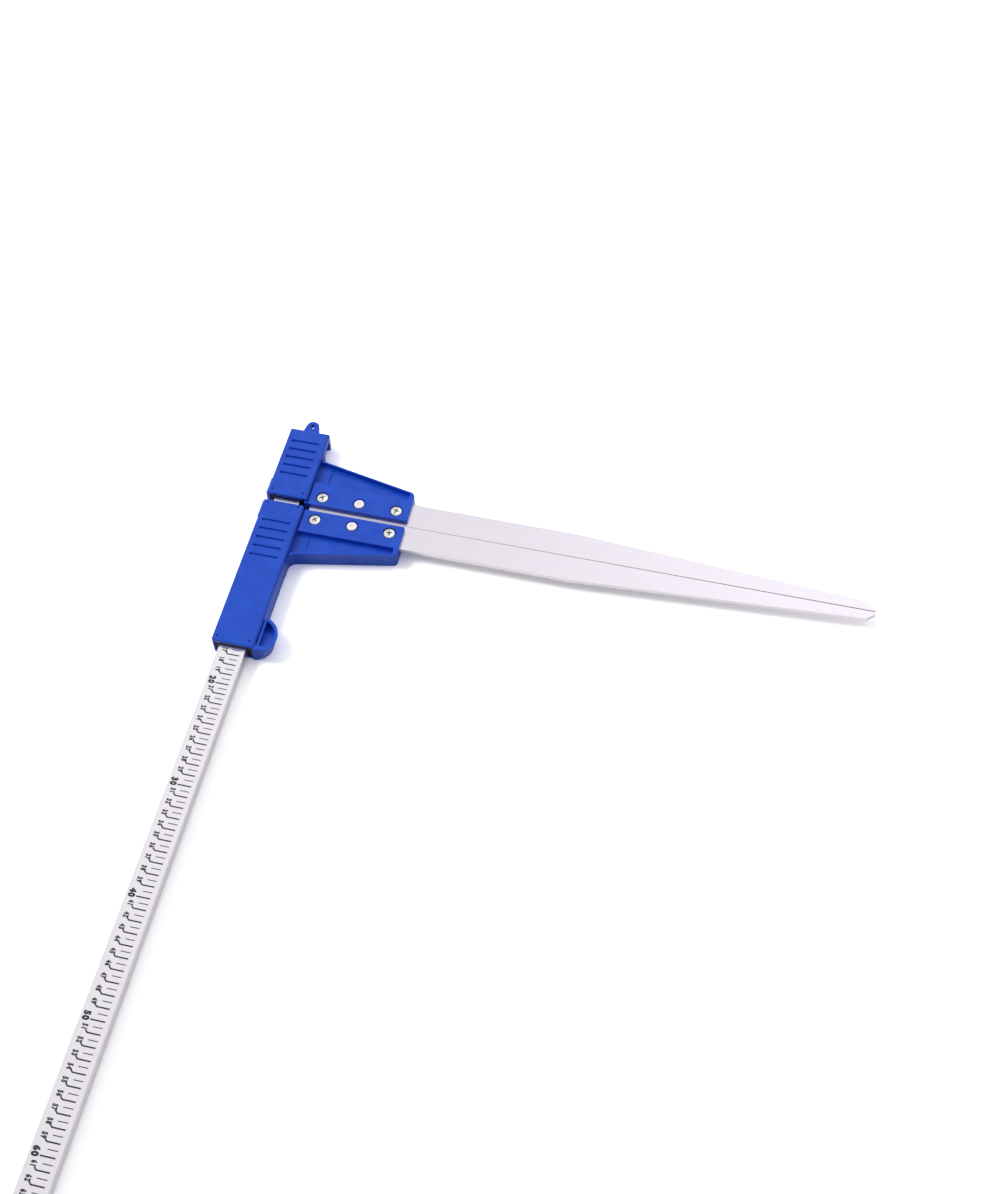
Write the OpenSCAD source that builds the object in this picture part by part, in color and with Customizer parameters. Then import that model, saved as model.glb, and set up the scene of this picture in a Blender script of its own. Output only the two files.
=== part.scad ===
// Forestry caliper for measuring the diameter of standing trees and logs.
// X runs along the beam, and X = 0 is the closed measuring plane and the zero of the scale.
// Y runs along the jaws to their tips, and Y = 0 is the middle of the beam.
// Z is up from the flat underside that the caliper lies on.

/* [Beam] */
// Width of the beam, across the scale
beam_w = 25; // [22:0.5:30]
// Height of the beam
beam_h = 11; // [9:0.5:12]
// Wall of the hollow beam
beam_wall = 1.6; // [1.2:0.1:2]
// Chamfer along the four edges of the beam
beam_chamfer = 0.7; // [0.4:0.1:1]
// Length of the scale, which is also the travel of the sliding jaw
scale_len = 1000; // [400:10:1200]
// Depth of the field that the scale is printed in
scale_recess = 0.3; // [0.2:0.1:0.5]
// Width of the lip on each side of the scale
lip_w = 1.3; // [1:0.1:1.6]

/* [Sleeves] */
// Width of both sleeves
sleeve_w = 39; // [37:0.5:44]
// Height of both sleeves, from the underside to the top face
sleeve_h = 20; // [19.5:0.5:24]
// Side wall of the sleeves
side_wall = 2.4; // [2:0.1:3]
// Roof of the sleeves
roof_t = 3; // [2.4:0.1:3.4]
// Floor of the sleeves
floor_t = 2.2; // [1.8:0.1:2.6]
// Rounding of the top edge on the jaw side
jaw_edge_r = 3; // [1.5:0.1:3]
// Rounding of the top edge on the back
back_edge_r = 1.2; // [0.6:0.1:2.4]
// Chamfer along the lower edges of the sleeves
foot_chamfer = 1.4; // [0.4:0.1:1.6]
// Chamfer over the mouths of the sleeves
mouth_chamfer = 0.7; // [0.3:0.1:1.2]
// Chamfer over the closed end of the fixed sleeve
end_chamfer = 1.2; // [0.3:0.1:1.6]
// Rounding of the upright corners at the ends of the sleeves
end_r = 2; // [0.5:0.1:2.4]
// Length of the fixed sleeve
fixed_sleeve_len = 81.3; // [76:0.1:110]
// Length of the sliding sleeve
sliding_sleeve_len = 160; // [130:1:200]
// Distance of the fixed sleeve's mouth from the measuring plane
fixed_sleeve_setback = 6; // [5:0.1:9]
// Distance of the sliding sleeve's mouth from the measuring plane
sliding_sleeve_setback = 1.8; // [0.5:0.1:4]
// Length of the thickened collar at each mouth
collar_len = 19; // [10:1:26]
// How far the collar stands proud of the back wall
collar_t = 1.6; // [0.4:0.1:2.5]

/* [Fixed socket] */
// End wall that closes the fixed sleeve
end_wall = 4; // [3:0.1:6]
// Depth of the wide mouth that holds the two shims
mouth_len = 16; // [14:1:24]
// Clearance of the beam in the fixed socket
socket_gap = 0.1; // [0.05:0.05:0.2]
// Length of the scoop in the jaw side of the fixed sleeve
notch_len = 17.8; // [10:0.1:18]
// Height of the scoop
notch_h = 14; // [8:0.5:15]
// Wall that the scoop leaves beside the socket at its deep end
notch_wall = 1.9; // [1.5:0.1:4]
// Rounding of the scoop's deep corner
notch_r = 2; // [0.5:0.5:2.5]
// Width of the flange that is left outside the scoop
notch_flange = 4.5; // [3:0.5:6]

/* [Grip ribs] */
// Number of grip grooves on each sleeve
groove_count = 5; // [3:1:5]
// Pitch of the grooves
groove_pitch = 10; // [6:0.5:10]
// Width of a groove
groove_w = 2.6; // [1:0.1:4]
// Length of a groove
groove_len = 27; // [18:1:30]
// Depth of a groove
groove_depth = 1.6; // [0.5:0.1:2]
// How far the grooves lie off the middle of the sleeve, away from the jaws
groove_shift = 1; // [0:0.1:2]
// First groove from the mouth of the fixed sleeve
fixed_groove_start = 26; // [22:0.5:28]
// First groove from the mouth of the sliding sleeve
sliding_groove_start = 23.6; // [20:0.5:30]

/* [Hanging lug] */
// Radius of the hanging lug's end
lug_r = 6.2; // [5:0.1:7]
// Width of the lug where it leaves the sleeve
lug_root_w = 15.5; // [14:0.5:20]
// Distance of the hanging hole from the end of the sleeve
lug_reach = 7.4; // [5:0.1:9]
// How far the lug's top lies below the top of the sleeve
lug_drop = 2; // [0.5:0.1:3]
// Thickness of the lug
lug_t = 5.5; // [4:0.5:6]
// Diameter of the hanging hole
lug_hole_d = 5; // [3:0.5:6]

/* [Arms] */
// Distance of the arms' ends from the middle of the beam
arm_end_y = 117; // [112:1:150]
// Width of the arms where they leave the sleeves, from the measuring plane
arm_root_w = 56.4; // [50:0.1:58]
// Width of the arms at their ends, from the measuring plane
arm_end_w = 37; // [36:0.5:48]
// Height of the arms
arm_h = 17; // [16:0.5:17]
// Rounding of the arms' outer corners
arm_corner_r = 5.5; // [2:0.5:6]
// Rounding of the arms' inner corners
arm_inner_r = 2; // [0.5:0.5:3]
// Fillet between the arm and the sleeve
arm_root_r = 8; // [1:0.5:9]
// Chamfer along the lower edges of the arms
arm_foot_chamfer = 0.6; // [0.3:0.1:1.2]
// Width of the groove between the sleeve and the top of the arm
edge_groove_w = 1.2; // [0.8:0.1:2]
// Depth of the groove between the sleeve and the top of the arm
edge_groove_depth = 2.2; // [1:0.1:2.6]
// Distance of the fixed arm from the measuring plane
fixed_arm_setback = 3.5; // [1:0.5:5]
// Distance of the sliding arm from the measuring plane
sliding_arm_setback = 3.5; // [1:0.5:5]
// Outer edge of the land over the blade, from the measuring plane
land_edge = 29; // [28.5:0.5:32]
// Outer rim of the upper pocket
upper_rim_t = 1.6; // [1.2:0.1:3]
// Rim round the pocket in the underside
rim_t = 2.6; // [2:0.1:4]
// Wall at the end of the pockets
pocket_end_wall = 4.5; // [3:0.5:6]
// Depth of the upper pocket
pocket_depth = 5; // [3:0.5:6]
// Depth of the pocket in the underside
under_depth = 8.5; // [4:0.5:9]
// Number of ribs across the pocket in the underside
under_ribs = 3; // [1:1:5]
// Thickness of the ribs in the pockets
rib_t = 1.8; // [1.2:0.1:2.5]
// Height of the low ridge across the upper pocket
ridge_h = 0.8; // [0.4:0.1:1.5]
// Width of the low ridge
ridge_w = 0.9; // [0.6:0.1:2]
// Distance of the low ridge from the side of the sleeve
ridge_gap = 12; // [8:0.5:16]
// Corner rounding of the pockets
pocket_r = 2; // [1:0.5:3]

/* [Blades] */
// Width of the blades
blade_w = 26.5; // [25:0.5:27]
// Thickness of the blades
blade_t = 4; // [3:0.5:4]
// Cover of the arm above the blade
blade_cover = 3.7; // [3:0.1:4.2]
// Distance of the blade's inner end from the side of the sleeve
blade_root_gap = 3.4; // [2:0.1:4]
// Where the outer edge starts to taper, from the middle of the beam
blade_kink_y = 274.5; // [200:0.5:320]
// Distance of the jaw tips from the middle of the beam
blade_tip_y = 554.5; // [400:0.5:620]
// Width of the blade where the tip's bevel starts
tip_w = 9.8; // [8:0.1:14]
// How far the measuring edge lies back at the tip, so that the jaws close at their roots first
edge_relief = 0.3; // [0.1:0.1:0.6]
// Width of the blunt end of the tip
tip_flat = 3; // [2:0.1:4]
// Length of the tip's bevel along the blade
tip_bevel = 8; // [4:0.5:14]
// Rounding at the corners of the tip's bevel
tip_r = 1.5; // [0.5:0.5:3]
// Clearance of the blade in its slot
slot_gap = 0.1; // [0.05:0.05:0.3]

/* [Jaw fasteners] */
// Distance of the inner screw from the middle of the beam
screw_in_y = 32.5; // [32:0.5:36]
// Distance of the outer screw from the middle of the beam
screw_out_y = 104.1; // [98:0.1:106]
// Shank diameter of the jaw screws
screw_d = 5; // [4:0.5:6]
// Head diameter of the jaw screws
head_d = 11; // [8:0.1:11.6]
// Head height of the jaw screws
head_h = 2.8; // [2.4:0.1:3.4]
// Diameter of the counterbores under the screw heads and the plugs
bore_d = 12.4; // [12:0.1:13]
// Depth of the counterbores
bore_depth = 2; // [0.6:0.1:2.2]
// Clearance of shanks and stems in their holes
shank_gap = 0.2; // [0.1:0.05:0.3]
// Width across the flats of the nuts
nut_af = 8; // [7:0.5:10]
// Thickness of the nuts
nut_h = 4; // [3:0.1:5]
// Depth of the nuts above the underside
nut_recess = 1.2; // [0.6:0.1:2]
// Clearance round the nuts in their pockets
nut_gap = 0.15; // [0.05:0.05:0.3]
// Width of the cross recess in the jaw screws
cross_w = 1.5; // [0.8:0.1:2]
// Span of the cross recess in the jaw screws
cross_span = 6.4; // [4:0.1:7]
// Depth of the cross recess in the jaw screws
cross_depth = 1.9; // [0.8:0.1:2]
// Stem diameter of the locating plugs
plug_d = 6; // [5:0.5:8]
// Head diameter of the locating plugs
plug_head_d = 9.6; // [9:0.1:11]
// Head height of the locating plugs
plug_head_h = 2.4; // [1.4:0.1:2.8]
// Chamfer round the head of the locating plugs
plug_chamfer = 0.7; // [0.3:0.1:1]
// Diameter of the dimple in the head of the locating plugs
plug_dimple_d = 4.6; // [2:0.1:6]
// Depth of the dimple
plug_dimple = 0.4; // [0.2:0.1:0.8]

/* [Glides] */
// Length of the side glides, of the shims and of the glide pads
glide_len = 11; // [8:0.5:12]
// Distance of the glides from the mouths of the sleeves
glide_inset = 1; // [0.4:0.1:1.4]
// Running clearance between the glides and the beam
run_gap = 0.15; // [0.1:0.05:0.3]
// Clearance between the glides and the walls that they seat on
seat_gap = 0.1; // [0.05:0.05:0.2]
// Thickness of the lower glide pads
low_pad_t = 1.4; // [1:0.1:1.8]
// Width of the upper and lower glide pads
pad_w = 20; // [14:1:24]
// Diameter of the pegs that hold the pads
peg_d = 6; // [4:0.5:8]
// Diameter of the pins that hold the side glides
pin_d = 1.6; // [1.2:0.1:2]
// Distance of the pins from the mouth of the fixed sleeve and from the far end of the sliding sleeve
pin_inset = 5.5; // [4.5:0.1:8]
// Distance of the pins from the jaw end of the sliding sleeve
front_pin_inset = 3.2; // [3:0.1:8]
// How far the pins lie off the middle of the sleeve, away from the jaws
pin_shift = 0.6; // [0:0.1:0.7]
// How far the pins end below the top face
pin_recess = 1.5; // [0.3:0.1:2]
// Clearance of the pins in their holes
pin_gap = 0.1; // [0.05:0.05:0.2]
// Solid glide that is left under a pin
pin_floor = 3; // [2:0.5:5]

/* [Thumb rest] */
// Radius of the thumb rest at its top
thumb_r = 20.4; // [18:0.1:22]
// Radius of the thumb rest at its foot
thumb_foot_r = 15.1; // [14:0.1:17]
// Distance of the thumb rest's centre from the end of the sliding sleeve
thumb_back = 13.7; // [10:0.1:16]
// Distance of the thumb rest's centre inside the side of the sleeve
thumb_in = 3.3; // [0:0.1:5]
// How far the thumb rest runs past the end of the sleeve
thumb_past = 0.9; // [0.3:0.1:2]
// How far the thumb rest's top lies below the top of the sleeve
thumb_drop = 1.6; // [0.5:0.1:3]
// Rounding of the thumb rest's end corner
thumb_corner_r = 5; // [1:0.5:7]
// Rim round the thumb rest's hollow
thumb_rim = 3; // [1.4:0.1:4]
// Rim at the end of the thumb rest's hollow
thumb_end_rim = 4.5; // [2:0.1:6]
// Depth of the hollow at its deep end
thumb_depth = 8.5; // [4:0.5:12]
// Depth of the hollow at its shallow end
thumb_end_depth = 3; // [1:0.5:4]
// Width of the groove between the sleeve and the thumb rest
thumb_groove_w = 1.2; // [0.8:0.1:2]
// Depth of the groove between the sleeve and the thumb rest
thumb_groove_depth = 3; // [1:0.5:5]
// Width of the ridge between that groove and the hollow
thumb_ridge_w = 2; // [1:0.1:3]

/* [End stop] */
// Thickness of the end stop's plate
stop_t = 9; // [6:0.5:14]
// Width of the end stop
stop_w = 34.5; // [34:0.5:38]
// Height of the end stop
stop_h = 18.5; // [17:0.5:20]
// Corner rounding of the end stop
stop_r = 5; // [2:0.5:7]
// Clearance between the open sliding head and the end stop
stop_gap = 1; // [0.3:0.1:3]
// Depth of the end stop's pocket over the beam
stop_pocket = 4; // [2:0.5:5]
// Diameter of the screw ports inside the beam
port_d = 2.8; // [2.4:0.1:3.2]
// Wall round the screw ports
port_wall = 1.2; // [0.8:0.1:1.5]
// Distance between the two screw ports
port_span = 12; // [10:0.5:14]
// Length of the end screws in the beam
end_screw_grip = 12; // [8:0.5:20]
// Head diameter of the end screws
end_head_d = 6; // [5:0.1:7]
// Head height of the end screws
end_head_h = 2; // [1.5:0.1:2.5]
// Width of the cross recess in the end screws
end_cross_w = 0.9; // [0.6:0.1:1.2]
// Span of the cross recess in the end screws
end_cross_span = 3.4; // [2:0.1:4]
// Depth of the cross recess in the end screws
end_cross_depth = 1.2; // [0.6:0.1:1.4]

/* [Hidden] */

// Number of straight pieces in a full circle, and in a rounded corner
$fn = 48;
arc_steps = 8;
// How far a cutting shape runs past the face that it cuts
eps = 1;
// Share of a screw head's height that is domed
dome_share = 0.6;

sleeve_half = sleeve_w / 2;
bore_half = sleeve_half - side_wall;
bore_top = sleeve_h - roof_t;
beam_half = beam_w / 2;
beam_z0 = floor_t + low_pad_t + seat_gap + run_gap;
beam_z1 = beam_z0 + beam_h;
beam_mid = (beam_z0 + beam_z1) / 2;
fixed_mouth_x = -fixed_sleeve_setback;
fixed_end_x = fixed_mouth_x - fixed_sleeve_len;
sliding_mouth_x = sliding_sleeve_setback;
sliding_end_x = sliding_mouth_x + sliding_sleeve_len;
beam_x0 = fixed_end_x + end_wall + socket_gap;
stop_x = sliding_end_x + scale_len + stop_gap;
beam_x1 = stop_x + stop_pocket - seat_gap;
scale_z = beam_z1 - scale_recess;
socket_half = beam_half + socket_gap;
notch_x = fixed_end_x + notch_flange;
notch_y = socket_half + notch_wall;
blade_z1 = arm_h - blade_cover;
blade_z0 = blade_z1 - blade_t;
blade_root_y = sleeve_half + blade_root_gap;
screw_x = blade_w / 2;
plug_y = (screw_in_y + screw_out_y) / 2;
seat_z = arm_h - bore_depth;
nut_z0 = nut_recess;
nut_z1 = nut_z0 + nut_h;
pocket_y0 = sleeve_half + rim_t;
pocket_y1 = arm_end_y - pocket_end_wall;
arm_slope = (arm_root_w - arm_end_w) / (arm_end_y - sleeve_half);
arm_root_x1 = arm_root_w + 2 * arm_root_r;
glide_y0 = beam_half + run_gap;
glide_y1 = bore_half - seat_gap;
pin_y = (glide_y0 + glide_y1) / 2;
glide_z0 = floor_t + seat_gap;
glide_z1 = bore_top - seat_gap;
pin_z0 = glide_z0 + pin_floor;
pin_z1 = sleeve_h - pin_recess;
shim_x = fixed_mouth_x - glide_inset - glide_len / 2;
front_glide_x = sliding_mouth_x + glide_inset + glide_len / 2;
rear_glide_x = sliding_end_x - glide_inset - glide_len / 2;
fixed_pin_x = fixed_mouth_x - pin_inset;
front_pin_x = sliding_mouth_x + front_pin_inset;
rear_pin_x = sliding_end_x - pin_inset;
pad_z1 = bore_top - seat_gap;
pad_z0 = scale_z + run_gap;
low_pad_z0 = floor_t + seat_gap;
low_pad_z1 = beam_z0 - run_gap;
peg_h = floor_t / 2;
thumb_x = sliding_end_x - thumb_back;
thumb_y = sleeve_half - thumb_in;
thumb_z = sleeve_h - thumb_drop;
thumb_end_x = sliding_end_x + thumb_past;
thumb_end_reach = sqrt(thumb_r * thumb_r - pow(thumb_back + thumb_past, 2));
lug_x = fixed_end_x - lug_reach;
lug_z1 = sleeve_h - lug_drop;
lug_z0 = lug_z1 - lug_t;
lug_lean = acos(lug_r / norm([lug_root_w / 2, lug_reach])) - atan2(lug_reach, lug_root_w / 2);
port_y = port_span / 2;
port_r = port_d / 2;

// Unit vector of v
function unit(v) = v / norm(v);

// Points of a rounded corner at b, between the straight runs from a and to c
function corner(a, b, c, r) =
    let (u = unit(a - b), v = unit(c - b), half = acos(u * v) / 2)
    let (m = b + unit(u + v) * r / sin(half), p = b + u * r / tan(half), q = b + v * r / tan(half))
    let (s = atan2(p[1] - m[1], p[0] - m[0]), t = atan2(q[1] - m[1], q[0] - m[0]))
    let (sweep = (t - s + 540) % 360 - 180)
    [for (i = [0 : arc_steps]) m + r * [cos(s + sweep * i / arc_steps), sin(s + sweep * i / arc_steps)]];

// Outline with every corner of pts rounded by the matching radius in rs, and sharp where that is 0
function rounded(pts, rs) =
    [for (i = [0 : len(pts) - 1])
        let (a = pts[(i + len(pts) - 1) % len(pts)], b = pts[i], c = pts[(i + 1) % len(pts)])
        each (rs[i] > 0 ? corner(a, b, c, rs[i]) : [b])];

// Rectangle from (y0, z0) to (y1, z1) with chamfers of low below and high above
function chamfered(y0, z0, y1, z1, low, high) =
    [[y0 + low, z0], [y1 - low, z0], [y1, z0 + low], [y1, z1 - high],
     [y1 - high, z1], [y0 + high, z1], [y0, z1 - high], [y0, z0 + low]];

// Outer edge of the arms at the height y along the jaw
function arm_edge(y) = arm_root_w - arm_slope * (y - sleeve_half);

// Shape with the outline yz in the Y-Z plane, drawn out along X
module along_x(x0, x1, yz) {
    translate([x0, 0, 0])
        rotate([90, 0, 90])
            linear_extrude(x1 - x0)
                polygon(yz);
}

// Shape with the outline xz in the X-Z plane, drawn out along Y
module along_y(y0, y1, xz) {
    translate([0, y1, 0])
        rotate([90, 0, 0])
            linear_extrude(y1 - y0)
                polygon(xz);
}

// Shape with the outline xy, from z0 up to z1
module upright(z0, z1, xy) {
    translate([0, 0, z0])
        linear_extrude(z1 - z0)
            polygon(xy);
}

// Box between two corners
module box(low, high) {
    translate(low)
        cube(high - low);
}

// Round post or hole on the vertical axis through (x, y)
module post(x, y, z0, z1, d) {
    translate([x, y, z0])
        cylinder(h = z1 - z0, d = d);
}

// Puts a shape that is drawn for the sliding side on the fixed side
module on_fixed_side() {
    mirror([1, 0, 0])
        children();
}

// Both screws of one jaw, as positions for its children
module at_jaw_screws() {
    for (y = [screw_in_y, screw_out_y])
        translate([screw_x, y, 0])
            children();
}

// Both positions across the beam for its children
module on_both_sides() {
    children();
    mirror([0, 1, 0])
        children();
}

// Hollow aluminium extrusion with a sunk field for the scale, and a web and a screw port each side
module beam() {
    inner_y = beam_half - beam_wall;
    inner_z0 = beam_z0 + beam_wall;
    inner_z1 = scale_z - beam_wall;
    field_half = beam_half - beam_chamfer - lip_w;
    color("whitesmoke")
        difference() {
            along_x(beam_x0, beam_x1,
                chamfered(-beam_half, beam_z0, beam_half, beam_z1, beam_chamfer, beam_chamfer));
            box([beam_x0 - eps, -field_half, scale_z], [beam_x1 + eps, field_half, beam_z1 + eps]);
            difference() {
                box([beam_x0 - eps, -inner_y, inner_z0], [beam_x1 + eps, inner_y, inner_z1]);
                on_both_sides() {
                    box([beam_x0 - 2 * eps, port_y - port_wall / 2, inner_z0 - eps],
                        [beam_x1 + 2 * eps, port_y + port_wall / 2, inner_z1 + eps]);
                    translate([beam_x0 - 2 * eps, port_y, beam_mid])
                        rotate([0, 90, 0])
                            cylinder(h = beam_x1 - beam_x0 + 4 * eps, r = port_r + port_wall);
                }
            }
            on_both_sides()
                translate([beam_x0 - eps, port_y, beam_mid])
                    rotate([0, 90, 0])
                        cylinder(h = beam_x1 - beam_x0 + 2 * eps, r = port_r);
        }
}

// Outer form of a sleeve from x0 to x1, with a chamfer of c0 and c1 over its ends, without its bore
module sleeve_form(x0, x1, c0, c1) {
    foot = foot_chamfer;
    intersection() {
        along_x(x0, x1,
            rounded(
                [[-sleeve_half + foot, 0], [sleeve_half - foot, 0], [sleeve_half, foot],
                 [sleeve_half, sleeve_h], [-sleeve_half, sleeve_h], [-sleeve_half, foot]],
                [0, 0, 0, jaw_edge_r, back_edge_r, 0]));
        along_y(-sleeve_half, sleeve_half,
            [[x0, 0], [x1, 0], [x1, sleeve_h - c1], [x1 - c1, sleeve_h],
             [x0 + c0, sleeve_h], [x0, sleeve_h - c0]]);
        upright(0, sleeve_h,
            rounded(
                [[x0, -sleeve_half], [x1, -sleeve_half], [x1, sleeve_half], [x0, sleeve_half]],
                [end_r, end_r, end_r, end_r]));
    }
}

// Thickened collar on the back wall from x0 to x1, with its corners rounded by r0 and r1
module collar(x0, x1, r0, r1) {
    back = -sleeve_half - collar_t;
    intersection() {
        along_x(x0, x1,
            chamfered(back, foot_chamfer, -bore_half, sleeve_h - back_edge_r, collar_t, collar_t));
        upright(0, sleeve_h,
            rounded([[x0, back], [x1, back], [x1, 0], [x0, 0]], [r0, r1, 0, 0]));
    }
}

// Row of grip grooves from x, one groove each step along X
module grip_grooves(x, step) {
    half = groove_len / 2;
    for (i = [0 : groove_count - 1])
        box([x + i * step - groove_w / 2, -half - groove_shift, sleeve_h - groove_depth],
            [x + i * step + groove_w / 2, half - groove_shift, sleeve_h + eps]);
}

// Arm of the sliding side, from the side of the sleeve to its end
module arm_form(setback) {
    outline = rounded(
        [[setback, bore_half], [setback, arm_end_y], [arm_end_w, arm_end_y], [arm_root_w, sleeve_half],
         [arm_root_x1, sleeve_half], [arm_root_x1, bore_half]],
        [0, arm_inner_r, arm_corner_r, arm_root_r, 0, 0]);
    difference() {
        upright(0, arm_h, outline);
        arm_foot_chamfers(setback);
    }
}

// Chamfers that are taken off the lower edges of an arm
module arm_foot_chamfers(setback) {
    len = arm_end_y + eps;
    foot = arm_foot_chamfer;
    cut = [[-foot, 0], [0, -foot], [foot, 0], [0, foot]];
    translate([setback, len, 0])
        rotate([90, 0, 0])
            linear_extrude(len - sleeve_half)
                polygon(cut);
    translate([-eps, arm_end_y, 0])
        rotate([90, 0, 90])
            linear_extrude(arm_root_w + eps)
                polygon(cut);
    translate([arm_edge(len), len, 0])
        rotate([90, 0, atan(arm_slope)])
            linear_extrude((len - sleeve_half - arm_root_r) / cos(atan(arm_slope)))
                polygon(cut);
}

// Outline of a pocket beside the land, inside a rim of the given width, with corners of radius r
function pocket_outline(y0, y1, rim, r) =
    rounded(
        [[land_edge, y0], [land_edge, y1], [arm_edge(y1) - rim, y1], [arm_edge(y0) - rim, y0]],
        [r, pocket_r, pocket_r, r]);

// Upper pocket up to the side of the sleeve, with the low ridge across its floor
module upper_pocket() {
    floor_z = arm_h - pocket_depth;
    ridge_y = sleeve_half + ridge_gap;
    difference() {
        upright(floor_z, arm_h + eps, pocket_outline(sleeve_half, pocket_y1, upper_rim_t, 0));
        box([land_edge - eps, ridge_y, floor_z - eps], [arm_root_w, ridge_y + ridge_w, floor_z + ridge_h]);
    }
}

// Groove between the side of the sleeve and the top of the arm
module edge_groove() {
    box([-eps, sleeve_half, arm_h - edge_groove_depth],
        [arm_root_x1 + eps, sleeve_half + edge_groove_w, arm_h + eps]);
}

// Pocket in the underside, divided by upright ribs
module lower_pocket() {
    bays = under_ribs + 1;
    bay = (pocket_y1 - pocket_y0 - under_ribs * rib_t) / bays;
    for (i = [0 : bays - 1]) {
        y0 = pocket_y0 + i * (bay + rib_t);
        upright(-eps, under_depth, pocket_outline(y0, y0 + bay, rim_t, pocket_r));
    }
}

// Everything that is cut out of an arm for the blade and its fasteners
module jaw_cuts() {
    box([-eps, blade_root_y - slot_gap, blade_z0 - slot_gap],
        [blade_w + slot_gap, arm_end_y + eps, blade_z1 + slot_gap]);
    at_jaw_screws() {
        cylinder(h = arm_h + eps, d = screw_d + shank_gap);
        post(0, 0, seat_z, arm_h + eps, bore_d);
        translate([0, 0, -eps])
            cylinder(h = nut_z1 + nut_gap + eps, d = (nut_af + 2 * nut_gap) / cos(30), $fn = 6);
    }
    post(screw_x, plug_y, -eps, arm_h + eps, plug_d + shank_gap);
    post(screw_x, plug_y, seat_z, arm_h + eps, bore_d);
}

// Both pins across a sleeve at x, as positions for its children
module at_pins(x) {
    for (side = [-1, 1])
        translate([x, side * pin_y - pin_shift, 0])
            children();
}

// Holes in the roof for the pins of a pair of side glides
module pin_holes(x) {
    at_pins(x)
        post(0, 0, bore_top - eps, sleeve_h + eps, pin_d + pin_gap);
}

// Hanging lug on the closed end of the fixed sleeve
module hanging_lug() {
    tangent = lug_r * [-sin(lug_lean), cos(lug_lean)];
    post(lug_x, 0, lug_z0, lug_z1, lug_r * 2);
    upright(lug_z0, lug_z1,
        [[lug_x + tangent[0], tangent[1]], [lug_x + tangent[0], -tangent[1]],
         [fixed_end_x, -lug_root_w / 2], [fixed_end_x + end_r, -lug_root_w / 2],
         [fixed_end_x + end_r, lug_root_w / 2], [fixed_end_x, lug_root_w / 2]]);
}

// Head that is clamped on the beam: closed sleeve, arm and hanging lug
module fixed_head() {
    mouth_in_x = fixed_mouth_x - mouth_len;
    color("royalblue")
        difference() {
            union() {
                sleeve_form(fixed_end_x, fixed_mouth_x, end_chamfer, mouth_chamfer);
                collar(fixed_mouth_x - collar_len, fixed_mouth_x, 0, end_r);
                on_fixed_side()
                    arm_form(fixed_arm_setback);
                hanging_lug();
            }
            box([beam_x0 - socket_gap, -socket_half, beam_z0 - socket_gap],
                [fixed_mouth_x + eps, socket_half, beam_z1 + socket_gap]);
            box([mouth_in_x, -bore_half, floor_t], [fixed_mouth_x + eps, bore_half, bore_top]);
            side_notch();
            grip_grooves(fixed_mouth_x - fixed_groove_start, -groove_pitch);
            pin_holes(fixed_pin_x);
            post(lug_x, 0, 0, sleeve_h + eps, lug_hole_d);
            on_both_sides()
                translate([fixed_end_x - eps, port_y, beam_mid])
                    rotate([0, 90, 0])
                        cylinder(h = end_wall + 2 * eps, d = port_d + shank_gap);
            on_fixed_side() {
                upper_pocket();
                edge_groove();
                lower_pocket();
                jaw_cuts();
            }
        }
}

// Scoop in the jaw side of the fixed sleeve, open below, that runs out towards the arm
module side_notch() {
    x1 = notch_x + notch_len;
    upright(-eps, notch_h,
        rounded(
            [[notch_x, notch_y], [x1, sleeve_half], [x1, sleeve_half + eps], [notch_x, sleeve_half + eps]],
            [notch_r, 0, 0, 0]));
}

// Jaw blade of the sliding side, from its inner end to its bevelled tip
module blade_form() {
    outline = rounded(
        [[0, blade_root_y], [blade_w, blade_root_y], [blade_w, blade_kink_y],
         [tip_w, blade_tip_y - tip_bevel], [tip_flat, blade_tip_y], [edge_relief, blade_tip_y]],
        [0, 0, 0, tip_r, tip_r, 0]);
    difference() {
        upright(blade_z0, blade_z1, outline);
        at_jaw_screws()
            cylinder(h = arm_h, d = screw_d + shank_gap);
        post(screw_x, plug_y, 0, arm_h, plug_d + shank_gap);
    }
}

// Blade of the fixed jaw
module fixed_blade() {
    color("gainsboro")
        on_fixed_side()
            blade_form();
}

// Blade of the sliding jaw
module sliding_blade() {
    color("gainsboro")
        blade_form();
}

// Domed pan head seated at z = 0, with a cross recess of the given width, span and depth
module pan_head(d, h, width, span, depth) {
    dome = h * dome_share;
    difference() {
        rotate_extrude()
            polygon(concat(
                [[0, 0], [d / 2, 0]],
                [for (i = [0 : arc_steps])
                    let (a = 90 * i / arc_steps)
                    [d / 2 * cos(a), h - dome + dome * sin(a)]]));
        for (turn = [0, 90])
            rotate([0, 0, turn])
                box([-span / 2, -width / 2, h - depth], [span / 2, width / 2, h + eps]);
    }
}

// Screws of one jaw, with their shanks down into the nuts
module jaw_screws() {
    at_jaw_screws() {
        post(0, 0, nut_z0, seat_z, screw_d);
        translate([0, 0, seat_z])
            pan_head(head_d, head_h, cross_w, cross_span, cross_depth);
    }
}

// Nuts of one jaw
module jaw_nuts() {
    at_jaw_screws()
        difference() {
            translate([0, 0, nut_z0])
                cylinder(h = nut_h, d = nut_af / cos(30), $fn = 6);
            post(0, 0, nut_z0 - eps, nut_z1 + eps, screw_d + pin_gap);
        }
}

// Locating plug of one jaw, with a chamfered head that has a dimple
module jaw_plug() {
    r = plug_head_d / 2;
    h = plug_head_h;
    translate([screw_x, plug_y, 0]) {
        post(0, 0, 0, seat_z, plug_d);
        translate([0, 0, seat_z])
            rotate_extrude()
                polygon([[0, 0], [r, 0], [r, h - plug_chamfer], [r - plug_chamfer, h],
                    [plug_dimple_d / 2, h], [plug_dimple_d / 2, h - plug_dimple], [0, h - plug_dimple]]);
    }
}

// Screws of the fixed jaw
module fixed_jaw_screws() {
    color("silver")
        on_fixed_side()
            jaw_screws();
}

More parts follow.
